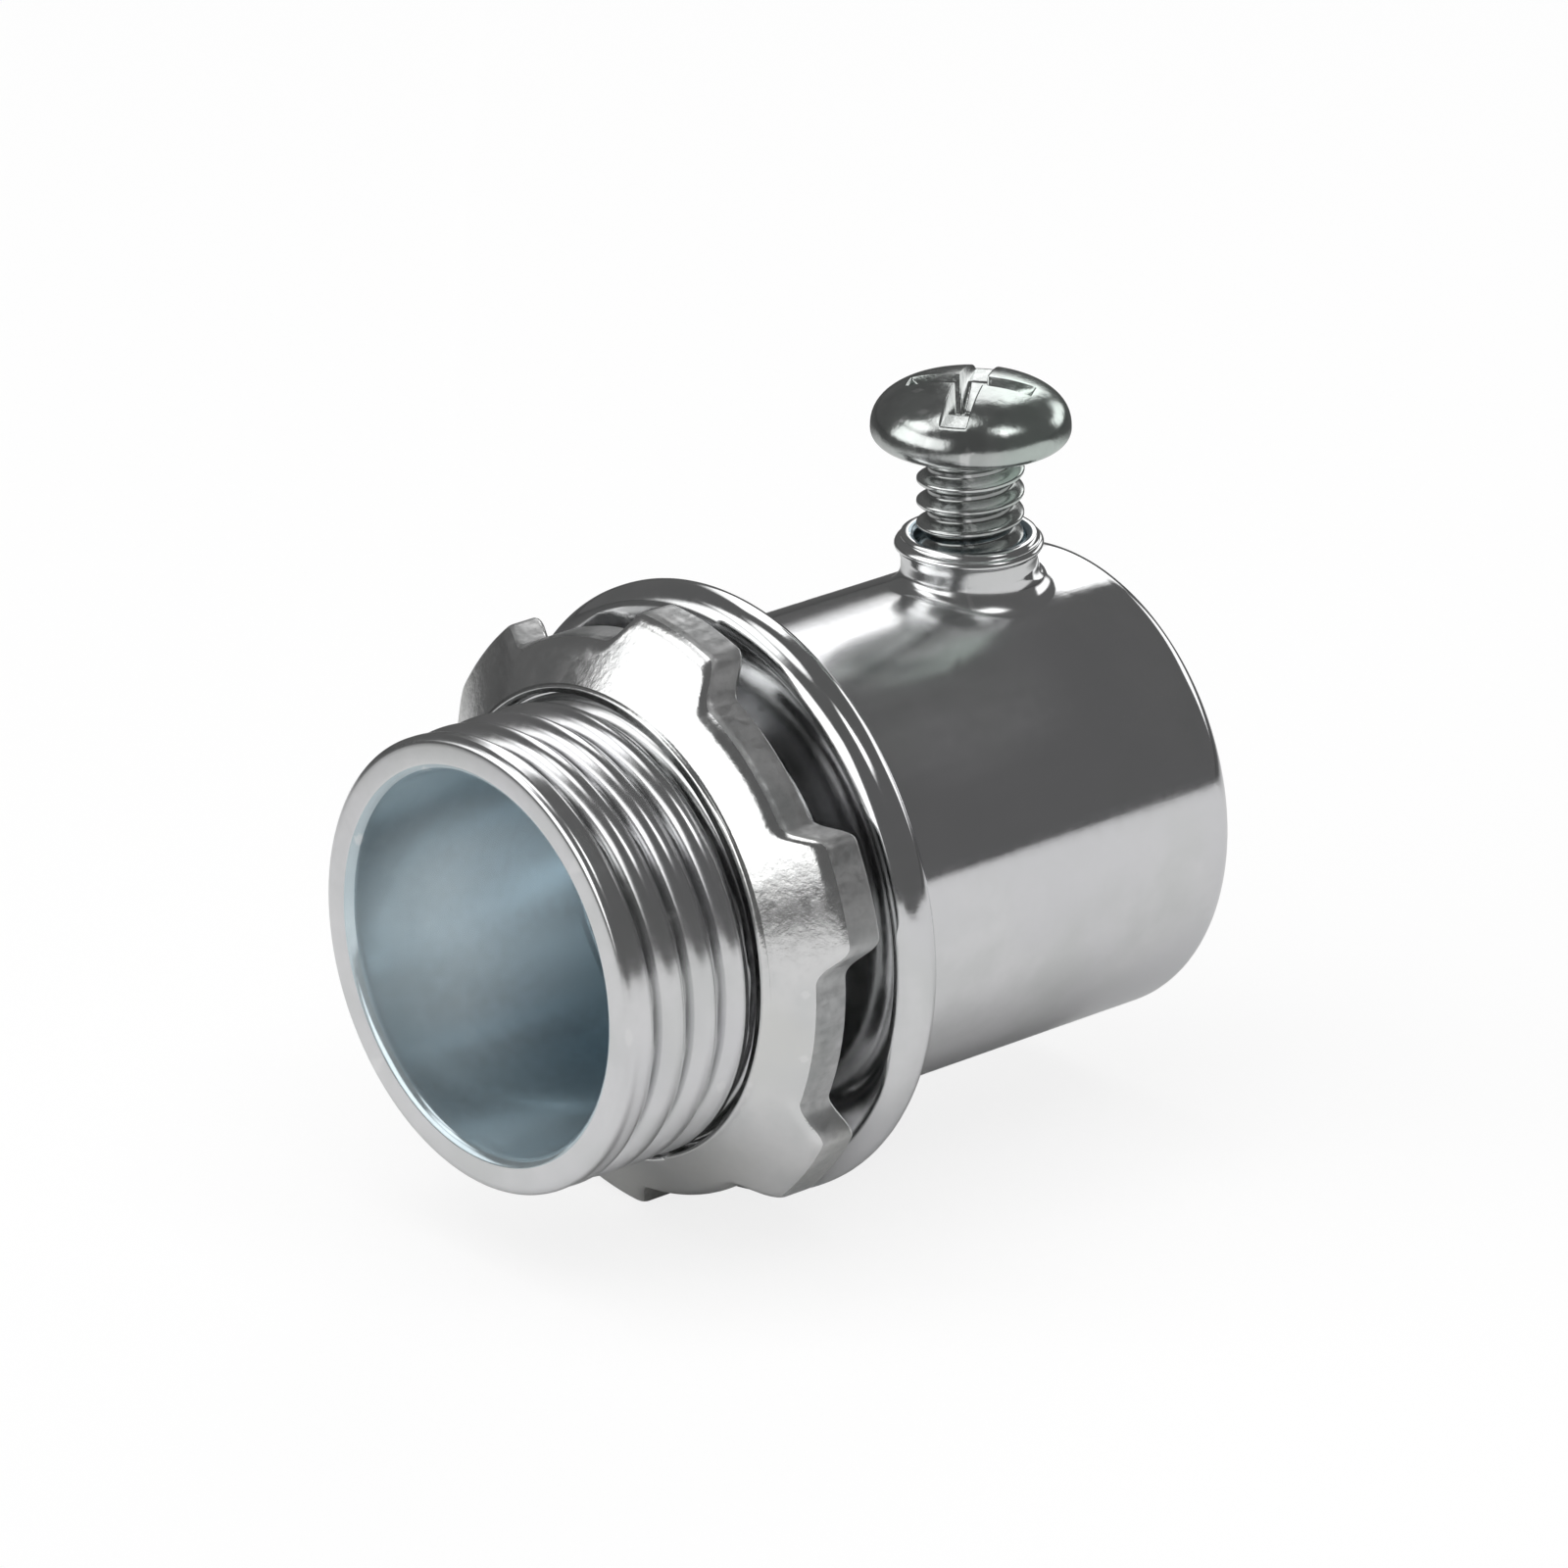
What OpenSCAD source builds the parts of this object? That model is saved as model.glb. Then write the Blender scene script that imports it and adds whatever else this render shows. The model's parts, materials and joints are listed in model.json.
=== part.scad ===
// EMT set-screw connector for 1/2 inch conduit, with its locknut.
// The origin is the centre of the bore on the front face of the shoulder.
// +X runs along the bore towards the conduit end, and +Z runs up the set screw.

/* [Nipple] */
// Diameter over the crests of the nipple thread
nipple_d = 20.8; // [20.7:0.05:20.9]
// Length of the nipple in front of the shoulder
nipple_len = 12.8; // [12:0.1:14]
// Pitch of the nipple thread
nipple_pitch = 1.814; // [1.7:0.002:1.9]
// Depth of the nipple thread, from crest to root
nipple_depth = 0.85; // [0.6:0.05:0.9]
// Diameter of the wire way through the nipple
throat_d = 17.5; // [17.2:0.1:17.6]

/* [Shoulder] */
// Diameter of the folded bead that rests on the box
shoulder_d = 28; // [27:0.25:30]
// Thickness of the bead along the bore
shoulder_w = 2.2; // [1.8:0.1:2.6]
// Diameter inside the stop that the conduit's end meets
stop_d = 16.5; // [16:0.1:17]

/* [Barrel] */
// Outside diameter of the barrel
barrel_d = 21.8; // [21.6:0.1:22.4]
// Distance from the shoulder's front face to the rear edge
barrel_len = 22.5; // [21:0.1:24]
// Diameter of the socket that takes the conduit
socket_d = 18.2; // [18.1:0.05:18.4]
// Radius of the rolled rear edge
edge_round = 1.2; // [0.6:0.1:1.2]

/* [Screw boss] */
// Distance from the shoulder's front face to the screw's axis
screw_x = 16; // [14:0.5:17]
// Outside diameter of the boss
boss_d = 6.2; // [6:0.1:6.6]
// Height of the boss's top above the bore's axis
boss_top = 13.1; // [12.6:0.1:13.6]
// Diameter of the lip at the top of the boss
boss_lip_d = 6.7; // [6.6:0.1:7]

/* [Set screw] */
// Diameter over the crests of the screw thread
screw_d = 4.83; // [4.75:0.01:4.85]
// Pitch of the screw thread
screw_pitch = 1.058; // [1:0.002:1.2]
// Depth of the screw thread, from crest to root
screw_depth = 0.5; // [0.4:0.05:0.55]
// Length of the shank under the head
screw_len = 7.94; // [7.6:0.02:8.2]
// Height of the head's underside above the bore's axis, as shipped
head_z = 17.5; // [17:0.1:17.8]
// Diameter of the pan head
head_d = 9; // [8.6:0.1:9.4]
// Height of the pan head
head_h = 2.85; // [2.7:0.05:3.1]
// Direction of the slot, measured from +X
slot_turn = 36; // [0:1:180]

/* [Locknut] */
// Diameter over the six lobes
nut_d = 28.4; // [27.6:0.1:28.8]
// Diameter of the edge between two lobes
nut_waist_d = 25.6; // [24.8:0.1:26]
// Width of each lobe at its root
nut_lobe_w = 6.4; // [5.6:0.1:7]
// Width of each lobe at its tip
nut_tip_w = 4.8; // [4:0.1:5.4]
// Thickness of the plate along the bore
nut_t = 2.1; // [1.8:0.1:2.3]
// Distance from the shoulder's front face to the nut's front edge
nut_front = 5.85; // [5.8:0.05:7]
// Rise of the dished plate for each millimetre of radius
nut_dish = 0.66; // [0.5:0.02:0.68]
// Turn of the nut on its thread
nut_turn = 10; // [0:1:60]

/* [Hidden] */
$fn = 96;
arc_steps = 8;

nipple_r = nipple_d / 2;
nipple_root_r = nipple_r - nipple_depth;
throat_r = throat_d / 2;
shoulder_r = shoulder_d / 2;
stop_r = stop_d / 2;
barrel_r = barrel_d / 2;
socket_r = socket_d / 2;
boss_r = boss_d / 2;
lip_r = boss_lip_d / 2;
screw_r = screw_d / 2;
screw_root_r = screw_r - screw_depth;
head_r = head_d / 2;

rim_bevel = 0.5;      // inside edge of the nipple's rim
rim_chamfer = 0.35;   // outside edge of the nipple's rim
rim_land = 0.4;       // plain band between the rim and the first groove
relief = 2.1;         // plain neck between the last crest and the shoulder
neck_fillet = 1.6;    // inside corner between the bead and the barrel
bead_round = shoulder_w * 0.45;
stop_slope = 0.6;     // the conduit stop starts at the shoulder's front face
stop_w = 1.0;
mouth_bevel = 0.4;    // lead-in at the conduit end
flare_top = 0.6;      // height of the boss's flare above the barrel
flare_w = 0.8;
flare_low = 0.9;      // how far the flare reaches below the barrel's top
lip_h = 1.0;
lip_round = 0.25;
tap_clear = 0.06;     // radial clearance round the screw and in the locknut
lobe_sink = 0.3;      // the lobes start to narrow this far inside the waist
head_edge = 0.6;      // height of the head's rounded lower edge
dome_power = 2.4;     // squareness of the head's dome; 2 would be an ellipse
tip_chamfer = 0.6;
slot_w = 1.2;
slot_depth = 0.9;
cross_span = 5.6;     // length of the cross's arms, tip to tip
cross_floor = 1.6;    // length of the arms at the bottom of the recess
cross_w = 1.1;
cross_depth = 1.9;
cross_lip = 0.45;     // depth at which the arms start to taper
margin = 1;           // how far a cutting shape reaches past what it cuts
steel = [0.72, 0.74, 0.75];
bright_steel = [0.80, 0.81, 0.82];
dark_steel = [0.60, 0.62, 0.62];

// Points on an arc about [x, y], from angle a to angle b.
function arc(x, y, r, a, b) =
    [for (i = [0:arc_steps])
        let (t = a + (b - a) * i / arc_steps) [x + r * cos(t), y + r * sin(t)]];

// Profile points [radius, height] of thread crests stacked every pitch from start to end.
// A 60 degree thread's flank is depth * tan(30) wide, and half of the rest is crest.
function thread(crest, depth, pitch, start, end) =
    let (flank = depth * tan(30), flat_w = pitch / 2 - flank)
    [for (h = [start:pitch:end - 2 * flank - flat_w])
        each [[crest - depth, h], [crest, h + flank],
              [crest, h + flank + flat_w], [crest - depth, h + 2 * flank + flat_w]]];

// Turns a shape drawn about the Z axis so that it lies along the bore.
module along_bore() {
    rotate([0, 90, 0])
        children();
}

// Everything of the connector that is round about the bore.
module body_shell() {
    rim = -nipple_len;
    first_groove = rim + rim_chamfer + rim_land;
    nipple_outside = concat(
        [[throat_r + rim_bevel, rim], [nipple_r - rim_chamfer, rim],
         [nipple_r, rim + rim_chamfer], [nipple_r, first_groove],
         [nipple_root_r, first_groove + nipple_depth * tan(30)]],
        thread(nipple_r, nipple_depth, nipple_pitch,
               first_groove + nipple_pitch / 2, -relief),
        [[nipple_root_r, 0]]);
    shoulder = concat(
        arc(shoulder_r - bead_round, bead_round, bead_round, -90, 0),
        arc(shoulder_r - bead_round, shoulder_w - bead_round, bead_round, 0, 90));
    barrel = concat(
        arc(barrel_r + neck_fillet, shoulder_w + neck_fillet, neck_fillet, 270, 180),
        arc(barrel_r - edge_round, barrel_len - edge_round, edge_round, 0, 90));
    inside = [
        [socket_r + mouth_bevel, barrel_len],
        [socket_r, barrel_len - mouth_bevel],
        [socket_r, 2 * stop_slope + stop_w],
        [stop_r, stop_slope + stop_w],
        [stop_r, stop_slope],
        [throat_r, 0],
        [throat_r, rim + rim_bevel]];
    along_bore()
        rotate_extrude()
            polygon(concat(nipple_outside, shoulder, barrel, inside));
}

// The boss that is drawn out of the barrel's wall for the screw.
module screw_boss() {
    flare_r = boss_r + flare_w;
    foot_z = (socket_r + barrel_r) / 2 - flare_low;
    lip_z = boss_top - lip_h / 2;
    translate([screw_x, 0, 0])
        rotate_extrude()
            polygon(concat(
                [[0, foot_z], [flare_r, foot_z], [flare_r, barrel_r - flare_low],
                 [boss_r, barrel_r + flare_top], [boss_r, boss_top - lip_h]],
                arc(lip_r - lip_round, lip_z, lip_round, -90, 90),
                [[boss_r, boss_top], [0, boss_top]]));
}

// Drawn steel tube with its nipple, bead, barrel and tapped boss.
module connector_body() {
    color(steel)
        difference() {
            union() {
                body_shell();
                difference() {
                    screw_boss();
                    along_bore()
                        cylinder(r = socket_r, h = barrel_len);
                }
            }
            translate([screw_x, 0, 0])
                cylinder(r = screw_r + tap_clear, h = boss_top + margin);
        }
}

// Outline of the locknut: a disc with six lobes that narrow towards their tips.
module nut_outline() {
    root = nut_waist_d / 2 - lobe_sink;
    tip = nut_d / 2;
    circle(d = nut_waist_d);
    intersection() {
        circle(d = nut_d);
        for (turn = [0:60:300])
            rotate(turn)
                polygon([[0, -nut_lobe_w / 2], [root, -nut_lobe_w / 2], [tip, -nut_tip_w / 2],
                         [tip, nut_tip_w / 2], [root, nut_lobe_w / 2], [0, nut_lobe_w / 2]]);
    }
}

// Stamped and dished locknut, hollow side towards the shoulder.
module locknut() {
    bore_r = nipple_r + tap_clear;
    outer_r = nut_d / 2 + margin;
    rise = (outer_r - bore_r) * nut_dish;
    color(bright_steel)
        along_bore()
            intersection() {
                rotate_extrude()
                    polygon([[bore_r, -nut_front], [outer_r, rise - nut_front],
                             [outer_r, rise - nut_front + nut_t], [bore_r, nut_t - nut_front]]);
                rotate(nut_turn)
                    translate([0, 0, -nut_front - margin])
                        linear_extrude(nut_front + margin)
                            nut_outline();
            }
}

// Shank and pan head, turned about the screw's axis.
module screw_blank() {
    tip = head_z - screw_len;
    dome_z = head_z + head_edge;
    dome_h = head_h - head_edge;
    dome = [for (i = [1:arc_steps])
        let (r = head_r * cos(90 * i / arc_steps))
            [r, dome_z + dome_h * pow(1 - pow(r / head_r, dome_power), 1 / dome_power)]];
    rotate_extrude()
        polygon(concat(
            [[0, tip], [screw_root_r - tip_chamfer / 2, tip], [screw_root_r, tip + tip_chamfer / 2]],
            thread(screw_r, screw_depth, screw_pitch, tip + tip_chamfer, head_z),
            [[screw_root_r, head_z]],
            arc(head_r - head_edge, dome_z, head_edge, -90, 0),
            dome));
}

// One arm of the cross, tapering towards the bottom of the recess.
module cross_arm() {
    top = head_z + head_h;
    translate([0, cross_w / 2, 0])
        rotate([90, 0, 0])
            linear_extrude(cross_w)
                polygon([[-cross_span / 2, top + margin], [-cross_span / 2, top - cross_lip],
                         [-cross_floor / 2, top - cross_depth], [cross_floor / 2, top - cross_depth],
                         [cross_span / 2, top - cross_lip], [cross_span / 2, top + margin]]);
}

// Pan-head machine screw with a combined slot and cross recess.
module set_screw() {
    color(dark_steel)
        translate([screw_x, 0, 0])
            difference() {
                screw_blank();
                rotate(slot_turn) {
                    translate([-head_d, -slot_w / 2, head_z + head_h - slot_depth])
                        cube([2 * head_d, slot_w, head_h]);
                    cross_arm();
                    rotate(90)
                        cross_arm();
                }
            }
}

connector_body();
locknut();
set_screw();
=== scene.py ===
"""The looks of a set-screw connector for 1/2 inch conduit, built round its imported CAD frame.

Shapes are worked out in millimetres and stored in metres. The bore lies along +X and the set screw
along +Z. Angles round the bore run from +Z towards -Y, angles round the screw from +X towards +Y.
"""

import json
import math

import bmesh
import bpy
import numpy as np
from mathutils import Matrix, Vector


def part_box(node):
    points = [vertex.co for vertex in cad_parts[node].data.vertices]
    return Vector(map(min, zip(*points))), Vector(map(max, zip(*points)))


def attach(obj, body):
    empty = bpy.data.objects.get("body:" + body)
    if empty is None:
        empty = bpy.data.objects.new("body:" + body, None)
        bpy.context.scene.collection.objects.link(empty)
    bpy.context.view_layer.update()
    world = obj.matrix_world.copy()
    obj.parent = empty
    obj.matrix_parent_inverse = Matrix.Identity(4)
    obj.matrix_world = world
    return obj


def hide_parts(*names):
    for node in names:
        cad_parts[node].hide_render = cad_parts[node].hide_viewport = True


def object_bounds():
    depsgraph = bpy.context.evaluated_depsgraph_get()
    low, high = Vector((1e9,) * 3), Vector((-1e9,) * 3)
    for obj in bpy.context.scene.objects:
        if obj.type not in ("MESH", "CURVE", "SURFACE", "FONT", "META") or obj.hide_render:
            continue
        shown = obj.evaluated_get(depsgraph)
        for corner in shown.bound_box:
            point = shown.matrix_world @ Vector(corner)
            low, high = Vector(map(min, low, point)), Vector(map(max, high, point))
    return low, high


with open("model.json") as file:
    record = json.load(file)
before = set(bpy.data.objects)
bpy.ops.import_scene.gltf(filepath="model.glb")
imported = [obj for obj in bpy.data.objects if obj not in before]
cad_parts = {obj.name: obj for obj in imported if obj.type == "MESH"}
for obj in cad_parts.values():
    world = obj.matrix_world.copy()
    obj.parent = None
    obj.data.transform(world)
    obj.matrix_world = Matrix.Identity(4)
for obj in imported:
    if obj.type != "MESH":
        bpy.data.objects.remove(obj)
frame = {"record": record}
cad_lo, cad_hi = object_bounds()

MM = 0.001
TURN = 2 * math.pi
QUARTER = math.pi / 2
PLATE, BORE, SHEARED = 0, 1, 1      # material slots: tube and nut each have a second one


# ---------------------------------------------------------------- dimensions, in millimetres

def node_box(node):
    """Lowest and highest corner of a CAD node, in millimetres."""
    return [np.array(corner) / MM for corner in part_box(node)]


mounts = {mount["name"]: mount["dims"] for mount in frame["record"]["mounts"]}
body_lo, body_hi = node_box("connector_body")
nut_lo, _ = node_box("locknut")
screw_lo, screw_hi = node_box("set_screw")

RIM_X = body_lo[0]
END_X = body_hi[0]
SHOULDER_R = -body_lo[2]
THROAT_R = mounts["throat"]["r_mm"]
SOCKET_R = mounts["conduit_socket"]["r_mm"]
THREAD_R = mounts["nipple_thread"]["r_mm"]
SCREW_X = (screw_lo[0] + screw_hi[0]) / 2
HEAD_R = (screw_hi[0] - screw_lo[0]) / 2
TIP_Z = screw_lo[2]
HEAD_TOP = screw_hi[2]
NUT_FRONT = nut_lo[0]

# Nipple
NIPPLE_PITCH = 1.814      # 14 threads to the inch
NIPPLE_DEPTH = 0.85
NIPPLE_PHASE = 0.17       # turns by which the helix is shifted along the bore
RIM_BEVEL = 0.5
RIM_CHAMFER = 0.35
RIM_LAND = 0.4
THREAD_END = -2.1
ROOT_R = THREAD_R - NIPPLE_DEPTH

# Bead and barrel
SHOULDER_W = 2.2
BEAD_ROUND = 0.45 * SHOULDER_W
NECK_FILLET = 1.6
BARREL_R = 10.9
EDGE_ROUND = 1.2
MOUTH_BEVEL = 0.4
STOP_R = 8.25
STOP_SLOPE = 0.6
STOP_W = 1.0

# Screw boss
BOSS_TOP = 13.1
STEM_R = 3.1
FLARE_W = 0.8
STEM_Z = BARREL_R + 0.6
LIP_ROUND = 0.25
LIP_Z = BOSS_TOP - 0.5
BOSS_RIDGE = 0.035        # marks of the tap on the outside of the stem
BOSS_UNEVEN = 0.06        # how far the drawn stem is out of round
TAP_R = 2.475
TAP_DEPTH = 0.32
TAP_MOUTH = 0.3
WINDOW_BACK = 6.2         # the boss's patch reaches this far towards the shoulder
WINDOW_FRONT = 5.25       # and this far towards the conduit end

# Set screw
SHANK_R = 2.415
SCREW_PITCH = 1.058       # 24 threads to the inch
SCREW_DEPTH = 0.5
SCREW_PHASE = 0.10
HEAD_Z = 17.5
HEAD_EDGE = 0.6
DOME_POWER = 2.4
SLOT_TURN = math.radians(36)
SLOT_HALF = 0.6
SLOT_DEPTH = 0.9
CROSS_HALF = 0.55
CROSS_REACH = 2.8
CROSS_FLOOR = 0.8
CROSS_LIP = 0.45
CROSS_DEPTH = 1.9
TIP_CHAMFER = 0.6

# Locknut
NUT_BORE_R = 10.46
NUT_T = 2.1
NUT_DISH = 0.66
NUT_TIP_R = 14.2
NUT_WAIST_R = 12.8
LOBE_ROOT = (12.5, 3.2)   # distance from the axis and half width where a lobe starts to narrow
LOBE_TIP = (14.2, 2.4)
LOBE_CENTRE = math.radians(10)
NUT_FRONT_ROUND = 0.5
NUT_BACK_ROUND = 0.25
NUT_THREAD_DEPTH = 0.7


# ---------------------------------------------------------------- mesh helpers

def arc(x, r, radius, start, end, steps):
    """(x, r) points of an arc about (x, r), angles in degrees from the +x direction towards +r."""
    turns = np.radians(np.linspace(start, end, steps + 1))
    return [(x + radius * math.cos(t), r + radius * math.sin(t)) for t in turns]


def around_bore(x, r, angles):
    """Points at distance r from the bore's axis, angles from +Z towards -Y."""
    return np.stack(np.broadcast_arrays(x, -r * np.sin(angles), r * np.cos(angles)), axis=-1)


def around_screw(z, r, angles):
    """Points at distance r from the screw's axis, angles from +X towards +Y."""
    x = SCREW_X + r * np.cos(angles)
    return np.stack(np.broadcast_arrays(x, r * np.sin(angles), z), axis=-1)


def ease(t):
    """Goes smoothly from 0 to 1 as t does, and stays there."""
    t = np.clip(t, 0, 1)
    return t * t * (3 - 2 * t)


def groove(turns, power):
    """Depth of a rolled thread's groove, 0 on a round crest and 1 in the root, at a phase in turns."""
    from_crest = np.abs(2 * (turns % 1) - 1)
    return from_crest ** power


class Shell:
    """Rings of points with the quads between them, which end up as one closed mesh."""

    def __init__(self):
        self.rings = []
        self.hollows = []
        self.count = 0
        self.faces = []
        self.slots = []

    def ring(self, points, hollow=0.0):
        """Adds a ring of points, hollow being 1 in a thread's root, and gives their numbers."""
        numbers = np.arange(self.count, self.count + len(points))
        self.rings.append(np.asarray(points, float))
        self.hollows.append(np.broadcast_to(hollow, len(points)))
        self.count += len(points)
        return numbers

    def quads(self, a, b, slot=0):
        """Joins two open strips of the same length."""
        new = np.stack([a[:-1], a[1:], b[1:], b[:-1]], axis=1)
        self.faces += new.tolist()
        self.slots += [slot] * len(new)

    def bridge(self, a, b, slot=0):
        """Joins two closed rings of the same length."""
        self.quads(np.append(a, a[0]), np.append(b, b[0]), slot)

    def cap(self, ring, centre, slot=0):
        """Closes a ring with a fan about a point."""
        middle = self.ring([centre])[0]
        turned = np.roll(ring, -1)
        self.faces += [[int(a), int(b), int(middle)] for a, b in zip(ring, turned)]
        self.slots += [slot] * len(ring)

    def piece(self, name, materials, body, node, slot_name):
        """Makes the mesh, gives it its materials and lets it stand for a CAD node."""
        mesh = bpy.data.meshes.new(name)
        mesh.from_pydata((np.concatenate(self.rings) * MM).tolist(), [], self.faces)
        for material in materials:
            mesh.materials.append(material)
        mesh.polygons.foreach_set("material_index", self.slots)
        hollow = mesh.attributes.new("hollow", "FLOAT", "POINT")
        hollow.data.foreach_set("value", np.concatenate(self.hollows))
        shape = bmesh.new()
        shape.from_mesh(mesh)
        unused = [v for v in shape.verts if not v.link_faces]
        bmesh.ops.delete(shape, geom=unused, context="VERTS")
        bmesh.ops.recalc_face_normals(shape, faces=shape.faces)
        shape.to_mesh(mesh)
        shape.free()
        mesh.shade_smooth()
        piece = bpy.data.objects.new(name, mesh)
        bpy.context.scene.collection.objects.link(piece)
        normals = piece.modifiers.new("face weighted normals", "WEIGHTED_NORMAL")
        normals.keep_sharp = True
        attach(piece, body)
        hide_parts(node)
        return piece


# ---------------------------------------------------------------- connector tube

TUBE_COLUMNS = 256
TUBE_ANGLES = TURN * np.arange(TUBE_COLUMNS) / TUBE_COLUMNS
THREAD_ROWS_PER_PITCH = 20
TAP_ROWS = 54
BLUE_MOUTH_ROWS = 4       # rows of the conduit end's rounded mouth that share the bore's plate
WINDOW_COLUMNS = 24       # columns on each side of the boss that its patch takes up
WINDOW_ROWS = 44
WINDOW_X = np.linspace(SCREW_X - WINDOW_BACK, SCREW_X + WINDOW_FRONT, WINDOW_ROWS)


def nipple_radius(x, angles):
    """Outside of the nipple: a right-handed rolled thread between the plain rim and the neck."""
    turns = (x - RIM_X) / NIPPLE_PITCH - angles / TURN + NIPPLE_PHASE
    start = ease((x - RIM_X - RIM_CHAMFER - 0.1) / (2.5 * RIM_LAND))
    depth = groove(turns, 2.6) * start
    run_out = ease((x - THREAD_END + 0.8) / 0.8)
    return THREAD_R - NIPPLE_DEPTH * np.maximum(depth, run_out)


def tube_outside():
    """Rows of the tube's outside, from the nipple's rim to the window of the boss."""
    rim = [(RIM_X, THROAT_R + RIM_BEVEL), (RIM_X, THREAD_R - RIM_CHAMFER - 0.15)]
    rim += arc(RIM_X + RIM_CHAMFER, THREAD_R - RIM_CHAMFER, RIM_CHAMFER, 180, 90, 5)
    thread_from = RIM_X + RIM_CHAMFER + 0.05
    rows = round((THREAD_END - thread_from) / NIPPLE_PITCH * THREAD_ROWS_PER_PITCH)
    thread = [(x, None) for x in np.linspace(thread_from, THREAD_END, rows)]
    neck = [(-1.2, ROOT_R)] + arc(-0.2, ROOT_R + 0.2, 0.2, -90, 0, 3)
    face = [(0, r) for r in np.linspace(ROOT_R + 0.6, SHOULDER_R - BEAD_ROUND, 5)]
    bead = arc(BEAD_ROUND, SHOULDER_R - BEAD_ROUND, BEAD_ROUND, 180, 90, 10)[1:]
    bead += arc(SHOULDER_W - BEAD_ROUND, SHOULDER_R - BEAD_ROUND, BEAD_ROUND, 90, 0, 10)
    fillet = arc(SHOULDER_W + NECK_FILLET, BARREL_R + NECK_FILLET, NECK_FILLET, 180, 270, 14)
    barrel = [(x, BARREL_R) for x in np.linspace(fillet[-1][0] + 0.5, WINDOW_X[0] - 0.5, 6)]
    return rim + thread + neck + face + bead + fillet + barrel


def tube_end():
    """Rows from the window of the boss round the conduit end and into the socket."""
    edge = arc(END_X - EDGE_ROUND, BARREL_R - EDGE_ROUND, EDGE_ROUND, 90, 0, 12)
    mouth = arc(END_X - MOUTH_BEVEL, SOCKET_R + MOUTH_BEVEL, MOUTH_BEVEL, 360, 270, 6)
    return edge + mouth + [(END_X - 2 * MOUTH_BEVEL, SOCKET_R)]


def tube_bore():
    """Rows of the bore from the window of the boss, over the conduit stop, to the nipple's rim."""
    socket = [(x, SOCKET_R) for x in np.linspace(WINDOW_X[0] - 0.5, 2.6, 6)]
    stop_x = 2 * STOP_SLOPE + STOP_W
    slope = np.linspace(0, 1, 9)
    down = [(stop_x - s * STOP_SLOPE, SOCKET_R + ease(s) * (STOP_R - SOCKET_R)) for s in slope]
    land = [(x, STOP_R) for x in np.linspace(STOP_SLOPE + STOP_W - 0.2, STOP_SLOPE + 0.2, 4)]
    up = [(STOP_SLOPE * (1 - s), STOP_R + ease(s) * (THROAT_R - STOP_R)) for s in slope]
    throat = [(x, THROAT_R) for x in np.linspace(-0.3, RIM_X + RIM_BEVEL + 0.2, 12)]
    bevel = arc(RIM_X + RIM_BEVEL, THROAT_R + RIM_BEVEL, RIM_BEVEL, 270, 180, 6)
    return socket + down + land + up + throat + bevel[:-1]


def tube_ring(shell, row):
    """One ring of the tube; a row with no radius of its own is a row of the thread."""
    x, r = row
    hollow = 0.0
    if r is None:
        r = nipple_radius(x, TUBE_ANGLES)
        hollow = (THREAD_R - r) / NIPPLE_DEPTH
    return shell.ring(around_bore(x, r, TUBE_ANGLES), hollow)


def border(rings):
    """Numbers of the points round a window's border, given the rings that cross the window."""
    side = WINDOW_COLUMNS
    columns = np.arange(-side, side + 1)
    near = rings[0][columns]
    right = [ring[side] for ring in rings[1:-1]]
    far = rings[-1][columns][::-1]
    left = [ring[-side] for ring in rings[1:-1]][::-1]
    return np.array([*near, *right, *far, *left])


def on_cylinder(xy, radius):
    """Lifts points given by x and y onto a cylinder about the bore."""
    return np.column_stack([xy, np.sqrt(radius ** 2 - xy[:, 1] ** 2)])


def circle_xy(r, angles):
    """Points of a circle about the screw's axis, given by x and y."""
    return np.column_stack([SCREW_X + r * np.cos(angles), r * np.sin(angles)])


def boss_wall(angles):
    """Rings of the boss's outside: the flare drawn out of the barrel, the stem and the lip."""
    foot = on_cylinder(circle_xy(STEM_R, angles), BARREL_R)[:, 2]
    rings = []
    for t in np.linspace(0, QUARTER, 13):
        r = STEM_R + FLARE_W * (1 - math.sin(t))
        ring = on_cylinder(circle_xy(r, angles), BARREL_R)
        ring[:, 2] += (STEM_Z - foot) * (1 - math.cos(t))
        rings.append(ring)
    wall = [(STEM_R, z) for z in np.linspace(STEM_Z + 0.08, LIP_Z - LIP_ROUND - 0.05, 4)]
    wall += [(r, z) for z, r in arc(LIP_Z, STEM_R, LIP_ROUND, 180, 0, 10)]
    wall += [(STEM_R, BOSS_TOP - 0.15), (STEM_R - 0.05, BOSS_TOP - 0.04)]
    wall += [(STEM_R - 0.15, BOSS_TOP), (TAP_R + TAP_MOUTH + 0.05, BOSS_TOP)]
    for r, z in wall:
        turns = z / SCREW_PITCH - angles / TURN
        ridge = BOSS_RIDGE * np.sin(TURN * turns) * ease((z - STEM_Z) / 0.3)
        uneven = BOSS_UNEVEN * np.sin(3 * angles + 1.0) * ease((z - STEM_Z) / 0.6)
        outer = r > STEM_R - 0.1
        rings.append(around_screw(z, r + (ridge + uneven) * outer, angles))
    return rings


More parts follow.
